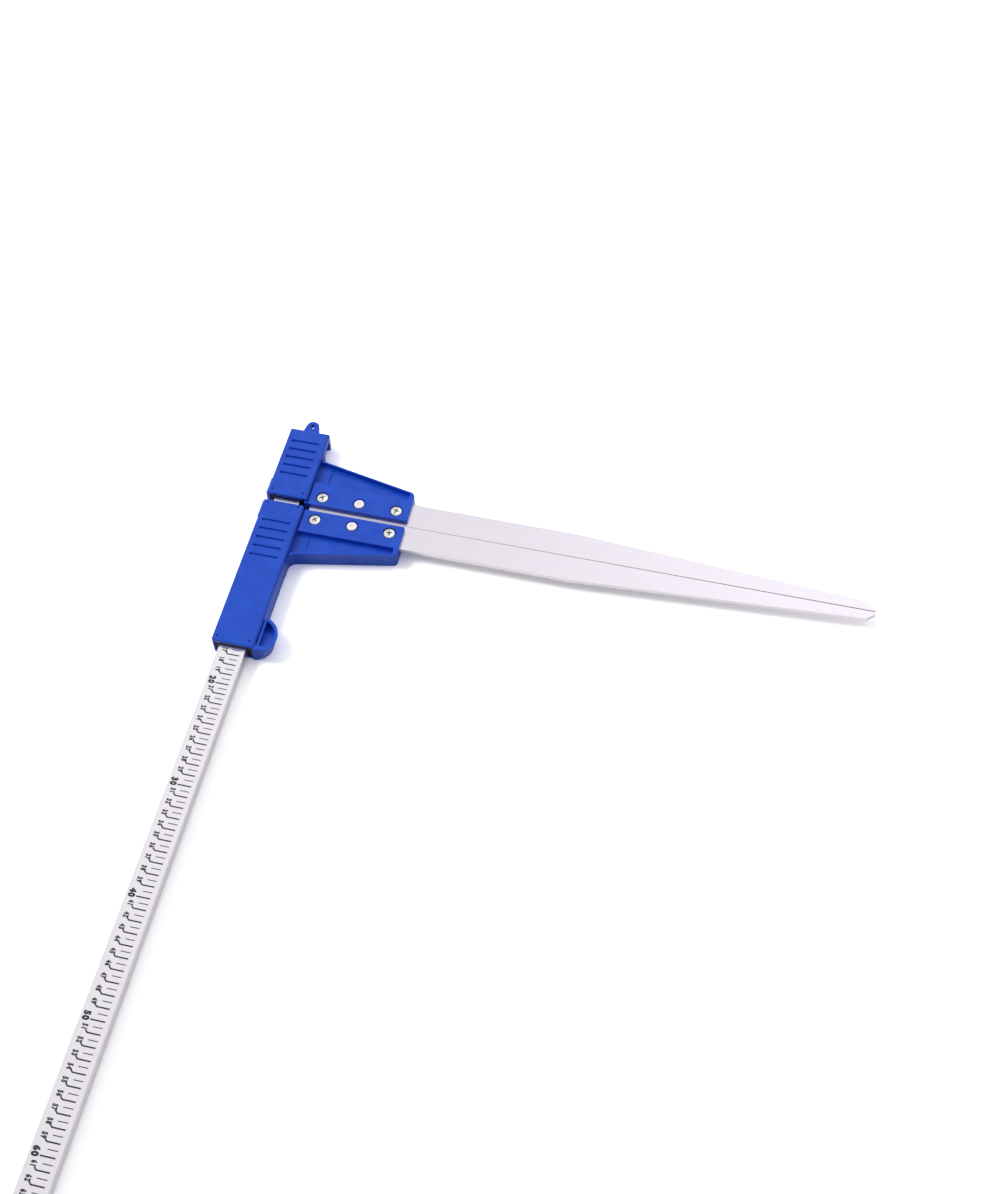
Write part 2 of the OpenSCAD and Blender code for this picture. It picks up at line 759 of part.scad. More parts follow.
// Screws of the sliding jaw
module sliding_jaw_screws() {
    color("silver")
        jaw_screws();
}

// Nuts of the fixed jaw
module fixed_jaw_nuts() {
    color("silver")
        on_fixed_side()
            jaw_nuts();
}

// Nuts of the sliding jaw
module sliding_jaw_nuts() {
    color("silver")
        jaw_nuts();
}

// White locating plug of the fixed jaw
module fixed_jaw_plug() {
    color("white")
        on_fixed_side()
            jaw_plug();
}

// White locating plug of the sliding jaw
module sliding_jaw_plug() {
    color("white")
        jaw_plug();
}

// Pair of side pieces between the beam and the walls of a sleeve, each with its pin hole
module side_pair(x, pin_x) {
    color("dimgray")
        difference() {
            on_both_sides()
                box([x - glide_len / 2, glide_y0, glide_z0], [x + glide_len / 2, glide_y1, glide_z1]);
            at_pins(pin_x)
                post(0, 0, pin_z0, glide_z1 + eps, pin_d + pin_gap);
        }
}

// Pair of pins that drop through the roof of a sleeve into a side pair
module pin_pair(x) {
    color("darkslateblue")
        at_pins(x)
            post(0, 0, pin_z0, pin_z1, pin_d);
}

// Shims that centre the beam in the mouth of the fixed sleeve
module fixed_shims() {
    side_pair(shim_x, fixed_pin_x);
}

// Pins of the shims
module fixed_shim_pins() {
    pin_pair(fixed_pin_x);
}

// Side glides at the jaw end of the sliding sleeve
module front_side_glides() {
    side_pair(front_glide_x, front_pin_x);
}

// Side glides at the far end of the sliding sleeve
module rear_side_glides() {
    side_pair(rear_glide_x, rear_pin_x);
}

// Pins of the front side glides
module front_glide_pins() {
    pin_pair(front_pin_x);
}

// Pins of the rear side glides
module rear_glide_pins() {
    pin_pair(rear_pin_x);
}

// Pads between the roof of the sliding sleeve and the beam, held by pegs
module upper_glide_pads() {
    color("dimgray")
        for (x = [front_glide_x, rear_glide_x]) {
            box([x - glide_len / 2, -pad_w / 2, pad_z0], [x + glide_len / 2, pad_w / 2, pad_z1]);
            post(x, 0, pad_z0, pad_z1 + peg_h, peg_d);
        }
}

// Pads between the floor of the sliding sleeve and the beam, held by pegs
module lower_glide_pads() {
    color("dimgray")
        for (x = [front_glide_x, rear_glide_x]) {
            box([x - glide_len / 2, -pad_w / 2, low_pad_z0], [x + glide_len / 2, pad_w / 2, low_pad_z1]);
            post(x, 0, low_pad_z0 - peg_h, low_pad_z1, peg_d);
        }
}

// Half-round thumb rest on the jaw side of the sliding sleeve, which narrows towards its foot
module thumb_rest() {
    far_y = thumb_y + thumb_r + eps;
    intersection() {
        translate([thumb_x, thumb_y, 0])
            cylinder(h = thumb_z, r1 = thumb_foot_r, r2 = thumb_r);
        upright(0, thumb_z,
            rounded(
                [[thumb_x - thumb_r, bore_half], [thumb_end_x, bore_half],
                 [thumb_end_x, thumb_y + thumb_end_reach], [thumb_x, far_y], [thumb_x - thumb_r, far_y]],
                [0, 0, thumb_corner_r, 0, 0]));
    }
}

// Hollow of the thumb rest, whose floor rises to the end, and the groove beside the sleeve
module thumb_cuts() {
    x0 = thumb_x - thumb_r;
    x1 = thumb_end_x - thumb_end_rim;
    ridge_y = sleeve_half + thumb_groove_w + thumb_ridge_w;
    intersection() {
        post(thumb_x, thumb_y, 0, sleeve_h, (thumb_r - thumb_rim) * 2);
        along_y(ridge_y, thumb_y + thumb_r,
            [[x0, thumb_z - thumb_depth], [x1, thumb_z - thumb_end_depth], [x1, sleeve_h], [x0, sleeve_h]]);
    }
    box([x0 - eps, sleeve_half, thumb_z - thumb_groove_depth],
        [x1, sleeve_half + thumb_groove_w, sleeve_h]);
}

// Head that slides on the beam: open sleeve, arm and thumb rest
module sliding_head() {
    color("royalblue")
        difference() {
            union() {
                sleeve_form(sliding_mouth_x, sliding_end_x, mouth_chamfer, mouth_chamfer);
                collar(sliding_mouth_x, sliding_mouth_x + collar_len, end_r, 0);
                arm_form(sliding_arm_setback);
                thumb_rest();
            }
            box([sliding_mouth_x - eps, -bore_half, floor_t], [sliding_end_x + eps, bore_half, bore_top]);
            grip_grooves(sliding_mouth_x + sliding_groove_start, groove_pitch);
            pin_holes(front_pin_x);
            pin_holes(rear_pin_x);
            for (x = [front_glide_x, rear_glide_x]) {
                post(x, 0, bore_top - eps, pad_z1 + peg_h + seat_gap, peg_d + pin_gap);
                post(x, 0, low_pad_z0 - peg_h - seat_gap, floor_t + eps, peg_d + pin_gap);
            }
            upper_pocket();
            edge_groove();
            lower_pocket();
            jaw_cuts();
            thumb_cuts();
        }
}

// Cap on the free end of the beam, which stops the sliding head
module end_stop() {
    half = stop_w / 2;
    outline = rounded(
        [[-half, 0], [half, 0], [half, stop_h], [-half, stop_h]],
        [foot_chamfer, foot_chamfer, stop_r, stop_r]);
    color("royalblue")
        difference() {
            along_x(stop_x, stop_x + stop_t, outline);
            box([stop_x - eps, -socket_half, beam_z0 - socket_gap],
                [stop_x + stop_pocket, socket_half, beam_z1 + socket_gap]);
            on_both_sides()
                translate([stop_x, port_y, beam_mid])
                    rotate([0, 90, 0])
                        cylinder(h = stop_t + eps, d = port_d + shank_gap);
        }
}

// Self-tapping screw along X with its head seated at x = 0 and its point inwards
module end_screw(grip) {
    rotate([0, 90, 0]) {
        translate([0, 0, -grip])
            cylinder(h = grip, d = port_d - pin_gap);
        pan_head(end_head_d, end_head_h, end_cross_w, end_cross_span, end_cross_depth);
    }
}

// Screws that hold the end stop on the beam
module end_stop_screws() {
    color("silver")
        on_both_sides()
            translate([stop_x + stop_t, port_y, beam_mid])
                end_screw(stop_t - stop_pocket + end_screw_grip);
}

// Screws that hold the fixed head on the beam
module fixed_end_screws() {
    color("silver")
        on_both_sides()
            translate([fixed_end_x, port_y, beam_mid])
                mirror([1, 0, 0])
                    end_screw(end_wall + end_screw_grip);
}

beam();
fixed_head();
fixed_blade();
fixed_jaw_screws();
fixed_jaw_nuts();
fixed_jaw_plug();
fixed_shims();
fixed_shim_pins();
fixed_end_screws();
end_stop();
end_stop_screws();
sliding_head();
sliding_blade();
sliding_jaw_screws();
sliding_jaw_nuts();
sliding_jaw_plug();
front_side_glides();
rear_side_glides();
front_glide_pins();
rear_glide_pins();
upper_glide_pads();
lower_glide_pads();
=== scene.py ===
from math import pi, radians

import bmesh
import bpy
from mathutils import Matrix, Vector


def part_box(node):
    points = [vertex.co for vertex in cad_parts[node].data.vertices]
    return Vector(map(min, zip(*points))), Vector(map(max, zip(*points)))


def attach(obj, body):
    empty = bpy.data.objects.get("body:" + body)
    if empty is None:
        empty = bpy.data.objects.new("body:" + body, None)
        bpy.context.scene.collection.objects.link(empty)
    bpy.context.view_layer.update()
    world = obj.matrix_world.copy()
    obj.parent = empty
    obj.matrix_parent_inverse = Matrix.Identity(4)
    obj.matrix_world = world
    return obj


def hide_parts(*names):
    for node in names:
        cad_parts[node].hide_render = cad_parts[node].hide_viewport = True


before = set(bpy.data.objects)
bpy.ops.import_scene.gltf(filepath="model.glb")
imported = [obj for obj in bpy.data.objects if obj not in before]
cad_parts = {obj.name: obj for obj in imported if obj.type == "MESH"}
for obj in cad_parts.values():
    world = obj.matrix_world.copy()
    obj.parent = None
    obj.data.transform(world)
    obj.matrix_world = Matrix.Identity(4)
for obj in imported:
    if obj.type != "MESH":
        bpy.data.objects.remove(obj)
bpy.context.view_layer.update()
scene = bpy.context.scene
mm = 0.001
print("frame loaded")

# The camera stands where the photograph was taken from, and its picture lies in these directions
camera = {
    "place": (0.7685, 0.347, 1.0939),
    "right": (-0.20527, 0.97852, 0.01888),
    "up": (-0.81192, -0.18103, 0.55499),
    "back": (0.54649, 0.0986, 0.83164),
    "lens": 43.23,
    "filmHeight": 36,
}


def placeCamera():
    lens = bpy.data.cameras.new("camera")
    lens.sensor_fit = "VERTICAL"
    lens.sensor_height = camera["filmHeight"]
    lens.lens = camera["lens"]
    eye = bpy.data.objects.new("camera", lens)
    turn = Matrix([camera["right"], camera["up"], camera["back"]]).transposed()
    eye.matrix_world = Matrix.Translation(camera["place"]) @ turn.to_4x4()
    scene.collection.objects.link(eye)
    scene.camera = eye


class Wire:
    # A value on a socket of a material, so that shader maths reads as Python
    def __init__(self, finish, socket):
        self.finish = finish
        self.socket = socket

    def maths(self, operation, *values):
        inputs = {place: value for place, value in enumerate(values)}
        return self.finish.node("ShaderNodeMath", {"operation": operation}, inputs)

    def __add__(self, other):
        return self.maths("ADD", self, other)

    def __radd__(self, other):
        return self.maths("ADD", other, self)

    def __sub__(self, other):
        return self.maths("SUBTRACT", self, other)

    def __rsub__(self, other):
        return self.maths("SUBTRACT", other, self)

    def __mul__(self, other):
        return self.maths("MULTIPLY", self, other)

    def __rmul__(self, other):
        return self.maths("MULTIPLY", other, self)

    def larger(self, other):
        return self.maths("MAXIMUM", self, other)

    def between(self, low, high):
        # 0 at low, 1 at high and smooth in between
        settings = {"interpolation_type": "SMOOTHSTEP"}
        return self.finish.node("ShaderNodeMapRange", settings, {"Value": self, 1: low, 2: high})


class Finish:
    # The node tree of a new material, or of the world that is given, built node by node
    def __init__(self, name, world=None):
        self.material = world or bpy.data.materials.new(name)
        self.material.use_nodes = True
        self.tree = self.material.node_tree
        self.shader = self.tree.nodes.get("Principled BSDF")

    def node(self, kind, settings, inputs, output=0):
        made = self.tree.nodes.new(kind)
        for name, value in settings.items():
            setattr(made, name, value)
        for name, value in inputs.items():
            self.fill(made.inputs[name], value)
        return Wire(self, made.outputs[output])

    def fill(self, socket, value):
        if isinstance(value, Wire):
            self.tree.links.new(value.socket, socket)
        else:
            socket.default_value = value

    def place(self, stretch=(1, 1, 1)):
        # Object coordinates in metres, stretched to draw a pattern out along an axis
        coordinates = self.node("ShaderNodeTexCoord", {}, {}, "Object")
        return self.node("ShaderNodeMapping", {}, {"Vector": coordinates, "Scale": stretch})

    def noise(self, place, size, detail=2.0):
        inputs = {"Vector": place, "Scale": 1 / size, "Detail": detail}
        return self.node("ShaderNodeTexNoise", {}, inputs)

    def mix(self, share, low, high):
        # The colour low where share is 0, and high where it is 1
        settings = {"data_type": "RGBA"}
        return self.node("ShaderNodeMix", settings, {0: share, 6: opaque(low), 7: opaque(high)}, 2)

    def axis(self, place, name):
        return self.node("ShaderNodeSeparateXYZ", {}, {0: place}, name)

    def bump(self, height, depth):
        self.set(Normal=self.node("ShaderNodeBump", {}, {"Height": height, "Distance": depth}))

    def set(self, **values):
        # Sockets of the shader, with their names' spaces written as underscores
        for name, value in values.items():
            self.fill(self.shader.inputs[name.replace("_", " ")], value)


def opaque(colour):
    return colour if isinstance(colour, Wire) else (*colour, 1)


# Blue moulded plastic with a fine spark-eroded grain
plastic = {
    "colour": (0.004, 0.060, 0.525),
    "paler": (0.007, 0.076, 0.58),
    "cloud": 14 * mm,
    "grain": 0.45 * mm,
    "grainDepth": 0.012 * mm,
    "detail": 3,
    "range": (0.3, 0.7),
    "roughness": 0.24,
    "cloudRoughness": 0.1,
    "grainRoughness": 0.05,
    "specular": 0.36,
}


def mouldedPlastic():
    finish = Finish("mouldedPlastic")
    place = finish.place()
    cloud = finish.noise(place, plastic["cloud"], plastic["detail"])
    grain = finish.noise(place, plastic["grain"])
    share = cloud.between(*plastic["range"])
    rough = plastic["roughness"] + plastic["cloudRoughness"] * cloud
    finish.set(Base_Color=finish.mix(share, plastic["colour"], plastic["paler"]))
    finish.set(Roughness=rough + plastic["grainRoughness"] * grain)
    finish.set(Specular_IOR_Level=plastic["specular"])
    finish.bump(grain, plastic["grainDepth"])
    return finish.material


# Pale anodised aluminium, with fine lines drawn out along the extrusion
aluminium = {
    "beam": (0.90, 0.866, 0.92),
    "blade": (0.79, 0.75, 0.82),
    "darker": 0.95,
    "lineWidth": 0.5 * mm,
    "lineLength": 80 * mm,
    "lineDepth": 0.004 * mm,
    "lineDetail": 3,
    "cloud": 30 * mm,
    "range": (0.3, 0.7),
    "roughness": 0.24,
    "lineRoughness": 0.06,
    "cloudRoughness": 0.04,
}


def anodised(name, colour, alongX):
    finish = Finish(name)
    ratio = aluminium["lineWidth"] / aluminium["lineLength"]
    stretch = (ratio, 1, 1) if alongX else (1, ratio, 1)
    lines = finish.noise(finish.place(stretch), aluminium["lineWidth"], aluminium["lineDetail"])
    cloud = finish.noise(finish.place(), aluminium["cloud"])
    darker = [part * aluminium["darker"] for part in colour]
    rough = aluminium["roughness"] + aluminium["lineRoughness"] * lines
    finish.set(Base_Color=finish.mix(lines.between(*aluminium["range"]), darker, colour))
    finish.set(Roughness=rough + aluminium["cloudRoughness"] * cloud, Metallic=1)
    finish.bump(lines, aluminium["lineDepth"])
    return finish.material


# Bright zinc plate with duller spots, and dark brown deep in the recesses of the jaw screws and
# round their heads in the counterbores, which is dirt together with painted shade
zinc = {
    "colour": (0.95, 0.955, 0.95),
    "duller": (0.68, 0.70, 0.69),
    # Dark brown of dirt and painted shade, for the cross recesses and the counterbore rings of the
    # jaw screws
    "dirtAndShade": (0.13, 0.08, 0.05),
    "dirtAndShadeDepths": (0.9 * mm, 1.9 * mm),
    "noDirtOrShade": (-1, -2),  # heights far below the nuts and the plain screws
    "spots": 0.9 * mm,
    "detail": 3,
    "range": (0.35, 0.7),
    "roughness": 0.14,
    "spotRoughness": 0.15,
    "dirtRoughness": 0.3,
    "dirtDulling": 0.7,
}


def zincPlate(name, clean, dirtyAndShaded):
    # Clean above the first height, and dark below the second, with dirt and painted shade
    finish = Finish(name)
    place = finish.place()
    spots = finish.noise(place, zinc["spots"], zinc["detail"])
    # Painted shade and dirt: the plate goes dark brown deeper below the screw top, in the cross
    # recess and round the head in its counterbore
    dirtAndShade = 1 - finish.axis(place, "Z").between(dirtyAndShaded, clean)
    plate = finish.mix(spots.between(*zinc["range"]), zinc["colour"], zinc["duller"])
    rough = zinc["roughness"] + zinc["spotRoughness"] * spots
    finish.set(Base_Color=finish.mix(dirtAndShade, plate, zinc["dirtAndShade"]))
    finish.set(Roughness=rough + zinc["dirtRoughness"] * dirtAndShade)
    finish.set(Metallic=1 - zinc["dirtDulling"] * dirtAndShade)
    return finish.material


# White moulded plastic of the plugs, faintly pink in the dimple
plugWhite = {
    "colour": (0.93, 0.92, 0.93),
    "dimple": (0.88, 0.77, 0.79),
    "dimpleDepths": (0.1 * mm, 0.3 * mm),
    "cloud": 3 * mm,
    "roughness": 0.3,
    "cloudRoughness": 0.1,
}


def whitePlastic(clean, dimple):
    finish = Finish("whitePlastic")
    place = finish.place()
    cloud = finish.noise(place, plugWhite["cloud"])
    sunk = 1 - finish.axis(place, "Z").between(dimple, clean)
    finish.set(Base_Color=finish.mix(sunk, plugWhite["colour"], plugWhite["dimple"]))
    finish.set(Roughness=plugWhite["roughness"] + plugWhite["cloudRoughness"] * cloud)
    return finish.material


# Dark finishes with small paler spots: colour, size of the spots, roughness and metal
dark = {
    "blackNylon": ((0.006, 0.006, 0.008), 2 * mm, 0.6, 0),
    "bluedSteel": ((0.02, 0.03, 0.10), 1 * mm, 0.35, 0.6),
    "scaleInk": ((0.016, 0.014, 0.018), 0.8 * mm, 0.5, 0),
}
darkSpots = {"paler": 1.9, "detail": 3, "range": (0.35, 0.75), "roughness": 0.15}


def darkFinish(name):
    colour, size, roughness, metallic = dark[name]
    finish = Finish(name)
    spots = finish.noise(finish.place(), size, darkSpots["detail"])
    paler = [part * darkSpots["paler"] for part in colour]
    finish.set(Base_Color=finish.mix(spots.between(*darkSpots["range"]), colour, paler))
    finish.set(Roughness=roughness + darkSpots["roughness"] * spots, Metallic=metallic)
    return finish.material


def showPiece(name, mesh, body, finish):
    mesh.materials.clear()
    mesh.materials.append(finish)
    piece = bpy.data.objects.new(name, mesh)
    scene.collection.objects.link(piece)
    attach(piece, body)
    return piece


def smoothFaces(piece):
    # Smooth faces, with normals that follow the large flat ones
    for face in piece.data.polygons:
        face.use_smooth = True
    piece.data.set_sharp_from_angle(angle=radians(edges["crease"]))
    even = piece.modifiers.new("evenNormals", "WEIGHTED_NORMAL")
    even.keep_sharp = True


# How a copy of a node is cleaned and its edges are rounded, with the angles in degrees
edges = {
    "merge": 0.001 * mm,
    "flat": 0.5,
    "sharp": 28,
    "crease": 50,
    "segments": 2,
    "room": 2.4,
    "probes": (0.25, 0.5, 0.75),
    "tries": 5,
    "clear": 0.8 * mm,
}


def levelFaces(face):
    # The face with the faces that continue it in its own plane
    level = [face]
    for edge in face.edges:
        if edge.calc_face_angle(1) < radians(edges["flat"]):
            level += [other for other in edge.link_faces if other is not face]
    return level


def hasRoom(edge, reach):
    # True where both faces beside the edge are wide enough to take its rounding
    for corner in edge.link_loops:
        start = corner.vert.co
        run = corner.link_loop_next.vert.co - start
        inward = corner.face.normal.cross(run.normalized()) * reach
        level = levelFaces(corner.face)
        for share in edges["probes"]:
            spot = start + run * share + inward
            if not any(bmesh.geometry.intersect_face_point(face, spot) for face in level):
                return False
    return True


def foldSpots(solid):
    # Corners of triangles that lie upside down in their face
    spots = []
    for triangle in solid.calc_loop_triangles():
        face = triangle[0].face
        first, second, third = [corner.vert.co for corner in triangle]
        if len(face.verts) > 4 and (second - first).cross(third - first).dot(face.normal) < 0:
            spots += [first.copy(), second.copy(), third.copy()]
    return spots


def roundEdges(mesh, width, avoided):
    # The sharp edges that have room are rounded, but not near the places to be avoided
    solid = bmesh.new()
    solid.from_mesh(mesh)
    bmesh.ops.remove_doubles(solid, verts=solid.verts, dist=edges["merge"])
    bmesh.ops.dissolve_limit(
        solid, angle_limit=radians(edges["flat"]), use_dissolve_boundaries=False,
        verts=solid.verts, edges=solid.edges, delimit=set())
    solid.normal_update()
    sharp = [edge for edge in solid.edges if edge.calc_face_angle(0) > radians(edges["sharp"])]
    sharp = [edge for edge in sharp if hasRoom(edge, edges["room"] * width)]
    for spot in avoided:
        sharp = [
            edge for edge in sharp
            if min((end.co - spot).length for end in edge.verts) > edges["clear"]]
    bmesh.ops.bevel(
        solid, geom=sharp, offset=width, offset_type="OFFSET", affect="EDGES",
        segments=edges["segments"], profile=0.5, material=-1, clamp_overlap=False)
    solid.normal_update()
    return solid


# Cross recess of the jaw screws: its turn in each screw in degrees, the depths between which its
# floor lies, and how far the floor rises from the inner to the outer end of an arm
recess = {
    "turns": {"fixed_jaw_screws": (28, -14), "sliding_jaw_screws": (43, 12)},
    "depths": (1.0 * mm, 2.1 * mm),
    "rise": 0.9 * mm,
    "arms": (1.1 * mm, 3.3 * mm),
    "around": 1.05,
}


def finishScrews(solid, node):
    # The recesses of a jaw's two screws get shallower at their ends, and each screw its turn
    low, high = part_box(node)
    radius = (high.x - low.x) / 2
    near, far = recess["arms"]
    shallow, deep = recess["depths"]
    for y, turn in zip((low.y + radius, high.y - radius), recess["turns"][node]):
        axis = Vector(((low.x + high.x) / 2, y, 0))
        reach = recess["around"] * radius
        screw = [vert for vert in solid.verts if abs(vert.co.y - y) < reach]
        floor = set()
        for vert in screw:
            out = (vert.co.xy - axis.xy).length
            if shallow < high.z - vert.co.z < deep and out < far:
                vert.co.z += recess["rise"] * max(out - near, 0) / (far - near)
                floor.add(vert)
        uneven = [face for face in solid.faces if floor.issuperset(face.verts)]
        bmesh.ops.triangulate(solid, faces=uneven, quad_method="BEAUTY", ngon_method="BEAUTY")
        turned = Matrix.Rotation(radians(turn), 3, "Z")
        bmesh.ops.rotate(solid, verts=screw, cent=axis, matrix=turned)


def soften(name, node, body, finish, width):
    # A copy of the node with its edges rounded, which stands in the node's place
    avoided = []
    for attempt in range(edges["tries"]):
        solid = roundEdges(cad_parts[node].data, width, avoided)
        spots = foldSpots(solid)
        if not spots:
            break
        avoided += spots
    if node in recess["turns"]:
        finishScrews(solid, node)
    mesh = bpy.data.meshes.new(name)
    solid.to_mesh(mesh)
    solid.free()
    print(name, "rounded in", attempt + 1, "tries, with", len(spots), "spots left")
    if "custom_normal" in mesh.attributes:
        mesh.attributes.remove(mesh.attributes["custom_normal"])
    piece = showPiece(name, mesh, body, finish)
    smoothFaces(piece)
    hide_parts(node)


def dressNode(node, finish):
    # A node whose own shape is shown gets its finish on its material slots
    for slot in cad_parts[node].material_slots:
        slot.material = finish


placeCamera()

blue = mouldedPlastic()
beamMetal = anodised("beamMetal", aluminium["beam"], True)
bladeMetal = anodised("bladeMetal", aluminium["blade"], False)
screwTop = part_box("fixed_jaw_screws")[1].z
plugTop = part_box("fixed_jaw_plug")[1].z
# The jaw screws go dark, with dirt and painted shade, from these depths below their tops downwards
jawZinc = zincPlate("jawZinc", *[screwTop - depth for depth in zinc["dirtAndShadeDepths"]])
plainZinc = zincPlate("plainZinc", *zinc["noDirtOrShade"])
white = whitePlastic(*[plugTop - depth for depth in plugWhite["dimpleDepths"]])
nylon = darkFinish("blackNylon")
blued = darkFinish("bluedSteel")
ink = darkFinish("scaleInk")
print("finishes made")

# Rounding of the edges of each piece
rounding = {
    "head": 0.3 * mm,
    "blade": 0.3 * mm,
    "beam": 0.25 * mm,
    "screw": 0.12 * mm,
    "plug": 0.15 * mm,
}

soften("fixedHead", "fixed_head", "frame", blue, rounding["head"])
soften("slidingHead", "sliding_head", "slider", blue, rounding["head"])
soften("endStop", "end_stop", "frame", blue, rounding["head"])
soften("fixedBlade", "fixed_blade", "frame", bladeMetal, rounding["blade"])
soften(
    "slidingBlade", "sliding_blade", "slider", bladeMetal, rounding["blade"])
soften("scaleBeam", "beam", "frame", beamMetal, rounding["beam"])
soften("fixedScrews", "fixed_jaw_screws", "frame", jawZinc, rounding["screw"])
soften("slidingScrews", "sliding_jaw_screws", "slider", jawZinc, rounding["screw"])
soften("fixedPlug", "fixed_jaw_plug", "frame", white, rounding["plug"])
soften("slidingPlug", "sliding_jaw_plug", "slider", white, rounding["plug"])
for node in ("fixed_jaw_nuts", "sliding_jaw_nuts", "fixed_end_screws", "end_stop_screws"):
    dressNode(node, plainZinc)
for node in (
        "fixed_shims", "front_side_glides", "rear_side_glides", "upper_glide_pads",
        "lower_glide_pads"):
    dressNode(node, nylon)
for node in ("fixed_shim_pins", "front_glide_pins", "rear_glide_pins"):
    dressNode(node, blued)
print("heads, blades, beam and fasteners dressed")

# Printed scale: marks each half centimetre, and numbers each centimetre. The leaders run from the
# marks to the numbers, with thinner ink so that no two faces share a plane.
marks = {
    "length": 1000 * mm,
    "step": 10 * mm,
    "large": 10,
    "recess": 0.3 * mm,
    "ink": 0.02 * mm,
    "leaderInk": 0.016 * mm,
    "start": 8.2 * mm,
    "longEnd": -2.6 * mm,
    "decadeEnd": -3.6 * mm,
    "shortEnd": 0.4 * mm,
    "longWidth": 1.16 * mm,
    "shortWidth": 0.72 * mm,
    "leaderStart": -2.25 * mm,
    "leader": (-1.9 * mm, -4.4 * mm),
}
# Large numbers at the tens and small ones between; bold and thick are in the font's own units
numbers = {
    "smallTop": -3.3 * mm,
    "smallHeight": 4.8 * mm,
    "smallPitch": 2.45 * mm,
    "smallRight": -1.5 * mm,
    "largeTop": -4.4 * mm,
    "largeHeight": 6.0 * mm,
    "largePitch": 3.95 * mm,
    "largeRight": 1.6 * mm,
    "gap": 0.22 * mm,
    "bold": 0.074,
    "thick": 0.5,
    "curveSteps": 4,
}
centimetres = round(marks["length"] / marks["step"])
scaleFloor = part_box("beam")[1].z - marks["recess"]


def addBar(solid, start, end, width, height=marks["ink"]):
    # A bar of ink from start to end on the floor of the scale's field
    run = Vector((end[0] - start[0], end[1] - start[1], 0))
    middle = Vector((*start, scaleFloor)) + run / 2 + Vector((0, 0, height / 2))
    turn = run.to_track_quat("Y", "Z").to_matrix().to_4x4()
    size = Matrix.Diagonal((width, run.length, height, 1))
    bmesh.ops.create_cube(solid, size=1, matrix=Matrix.Translation(middle) @ turn @ size)


def drawMarks():
    solid = bmesh.new()
    for centimetre in range(centimetres + 1):
        x = centimetre * marks["step"]
        decade = centimetre % marks["large"] == 0
        end = marks["decadeEnd"] if decade else marks["longEnd"]
        addBar(solid, (x, marks["start"]), (x, end), marks["longWidth"])
        if not decade:
            side = (x + marks["leader"][0], marks["leader"][1])
            addBar(solid, (x, marks["leaderStart"]), side, marks["longWidth"], marks["leaderInk"])
        if centimetre < centimetres:
            half = x + marks["step"] / 2
            addBar(solid, (half, marks["start"]), (half, marks["shortEnd"]), marks["shortWidth"])
    mesh = bpy.data.meshes.new("scaleMarks")
    solid.to_mesh(mesh)
    solid.free()
    showPiece("scaleMarks", mesh, "frame", ink)


def drawDigit(digit):
    # One digit as a thin closed mesh
    words = bpy.data.curves.new("digit", "FONT")
    words.body = digit
    words.extrude = numbers["thick"]
    words.offset = numbers["bold"]
    words.resolution_u = numbers["curveSteps"]
    words.fill_mode = "BOTH"
    shape = bpy.data.objects.new("digit", words)
    scene.collection.objects.link(shape)
    bpy.context.view_layer.update()
    drawn = shape.evaluated_get(bpy.context.evaluated_depsgraph_get())
    mesh = bpy.data.meshes.new_from_object(drawn)
    bpy.data.curves.remove(words)  # its object goes with it
    return mesh


def spanOf(mesh, axis):
    places = [vertex.co[axis] for vertex in mesh.vertices]
    return min(places), max(places)


def drawNumbers():
    digits = {digit: drawDigit(digit) for digit in "0123456789"}
    nought = digits["0"]
    left, right = spanOf(nought, 0)
    bottom, top = spanOf(nought, 1)
    solid = bmesh.new()
    for centimetre in range(1, centimetres + 1):
        kind = "small" if centimetre % marks["large"] else "large"
        pitch, height = numbers[kind + "Pitch"], numbers[kind + "Height"]
        wide = (pitch - numbers["gap"]) / (right - left)
        tall = height / (top - bottom)
        for place, digit in enumerate(reversed(str(centimetre))):
            glyph = digits[digit].copy()
            middle = sum(spanOf(glyph, 0)) / 2
            x = centimetre * marks["step"] + numbers[kind + "Right"] - (place + 0.5) * pitch
            y = numbers[kind + "Top"] - height
            size = Matrix.Diagonal((wide, tall, marks["ink"], 1))
            centred = Matrix.Translation((-middle, -bottom, numbers["thick"]))
            glyph.transform(Matrix.Translation((x, y, scaleFloor)) @ size @ centred)
            solid.from_mesh(glyph)
            bpy.data.meshes.remove(glyph)
    for glyph in digits.values():
        bpy.data.meshes.remove(glyph)
    bmesh.ops.remove_doubles(solid, verts=solid.verts, dist=edges["merge"])
    mesh = bpy.data.meshes.new("scaleNumbers")
    solid.to_mesh(mesh)
    solid.free()
    showPiece("scaleNumbers", mesh, "frame", ink)


drawMarks()
drawNumbers()
print("scale printed")

# White paper floor, with the brightness that lights the part, the one that the camera sees, and
# how much of that the metal mirrors
paper = {"size": 8, "lit": 0.8, "seen": 1.75, "mirrored": 0.3}

# Sky: its light comes more from the fixed head's end. Its picture in the metal is brighter where
# the jaws' tips show it, and darker towards the scale's end and the horizon.
sky = {
    "light": 0.6,
    "lightLean": 0.7,
    "picture": (0.955, 1.375),
    "tipsFrom": (-0.2, 0.14),
    "fadeFrom": (0.2, 0.5),
    "fade": 0.26,
    "beamFrom": (-0.15, -0.3),
    "beamGain": 0.08,
    "leanFrom": (-0.6, 0.3),
    "lean": 0.25,
    "horizon": 0.45,
    "riseFrom": (0.1, 0.75),
}

# Soft key lamp from the beam's side, which gives the floor this level
key = {"from": (-0.15, -1.0, 1.0), "level": 0.4, "angle": 30}


def lightPath(finish):
    # 1 for the rays that come straight from the camera, off a gloss or through a clear part
    path = finish.tree.nodes.new("ShaderNodeLightPath")
    names = ("Is Camera Ray", "Is Glossy Ray", "Is Transmission Ray")
    return [Wire(finish, path.outputs[name]) for name in names]


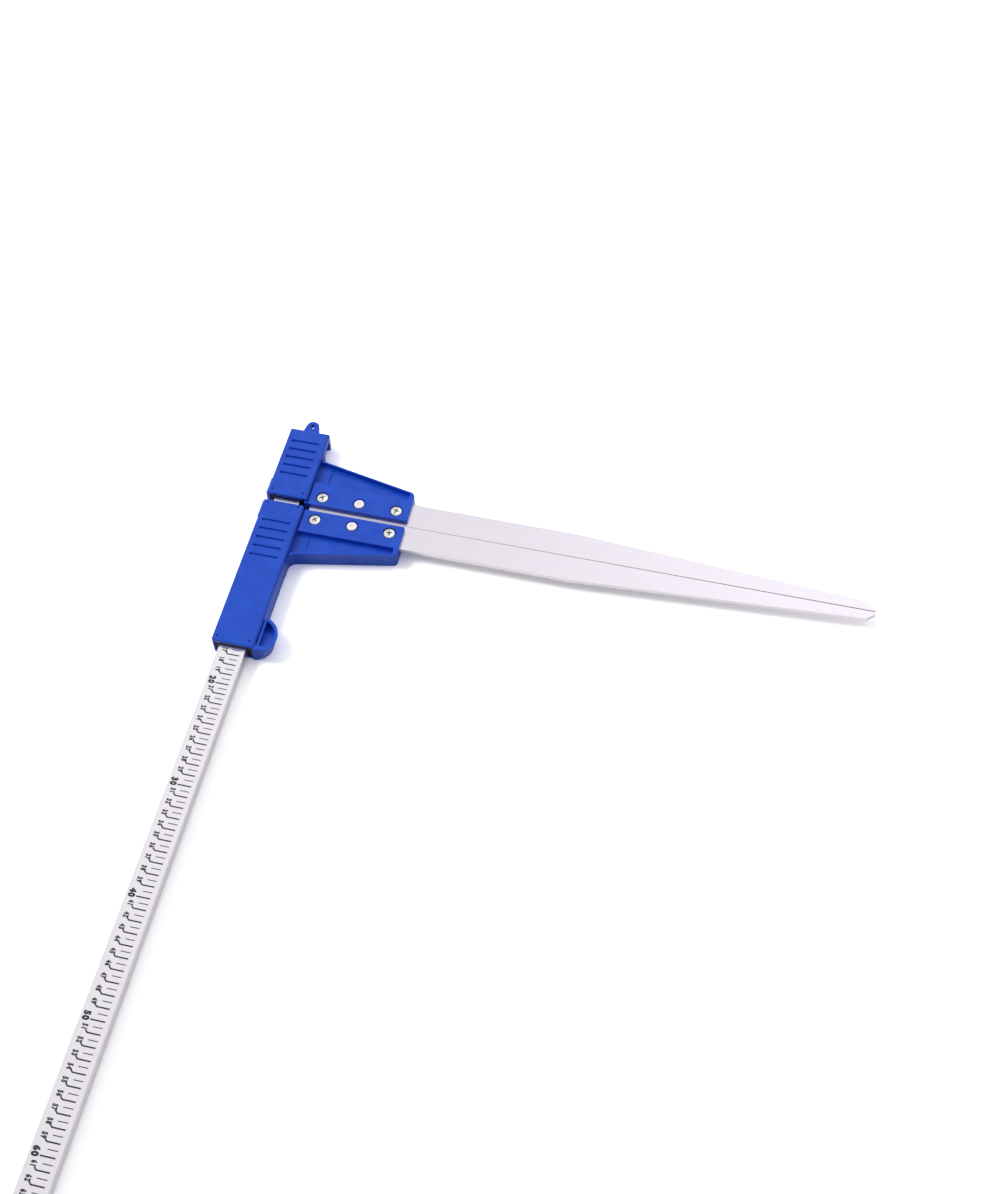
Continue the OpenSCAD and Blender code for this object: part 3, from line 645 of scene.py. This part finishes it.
def layFloor():
    finish = Finish("paper")
    straight, glossy, through = lightPath(finish)
    share = straight.larger(through).larger(glossy * paper["mirrored"])
    colour = finish.mix(share, [paper["lit"]] * 3, [paper["seen"]] * 3)
    finish.set(Base_Color=colour, Roughness=1, Specular_IOR_Level=0)
    solid = bmesh.new()
    bmesh.ops.create_grid(solid, x_segments=2, y_segments=2, size=paper["size"] / 2)
    mesh = bpy.data.meshes.new("floor")
    solid.to_mesh(mesh)
    solid.free()
    mesh.materials.append(finish.material)
    floor = bpy.data.objects.new("floor", mesh)
    scene.collection.objects.link(floor)


def hangSky():
    world = bpy.data.worlds.new("sky")
    finish = Finish("sky", world)
    direction = finish.node("ShaderNodeTexCoord", {}, {}, "Generated")
    along, aside, up = [finish.axis(direction, name) for name in "XYZ"]
    low, high = sky["picture"]
    picture = low + (high - low) * aside.between(*sky["tipsFrom"])
    picture = picture * (1 - sky["fade"] * aside.between(*sky["fadeFrom"]))
    picture = picture * (1 + sky["beamGain"] * aside.between(*sky["beamFrom"]))
    picture = picture * (1 - sky["lean"] * along.between(*sky["leanFrom"]))
    rise = up.between(*sky["riseFrom"])
    picture = picture * (sky["horizon"] + (1 - sky["horizon"]) * rise)
    light = sky["light"] * (1 - sky["lightLean"] * along)
    straight, glossy, through = lightPath(finish)
    white = straight.larger(through)
    plain = 1 - white.larger(glossy)
    background = finish.tree.nodes["Background"]
    background.inputs["Color"].default_value = (1, 1, 1, 1)
    finish.fill(background.inputs["Strength"], light * plain + picture * glossy + white)
    scene.world = world


def hangKey():
    source = Vector(key["from"]).normalized()
    lamp = bpy.data.lights.new("key", "SUN")
    lamp.energy = key["level"] * pi / source.z
    lamp.angle = radians(key["angle"])
    hung = bpy.data.objects.new("key", lamp)
    hung.rotation_euler = (-source).to_track_quat("-Z", "Y").to_euler()
    hung.visible_glossy = False  # the metal shows the sky and the floor, not the lamp
    scene.collection.objects.link(hung)


layFloor()
hangSky()
hangKey()
scene.view_settings.view_transform = "Standard"
print("stage lit")
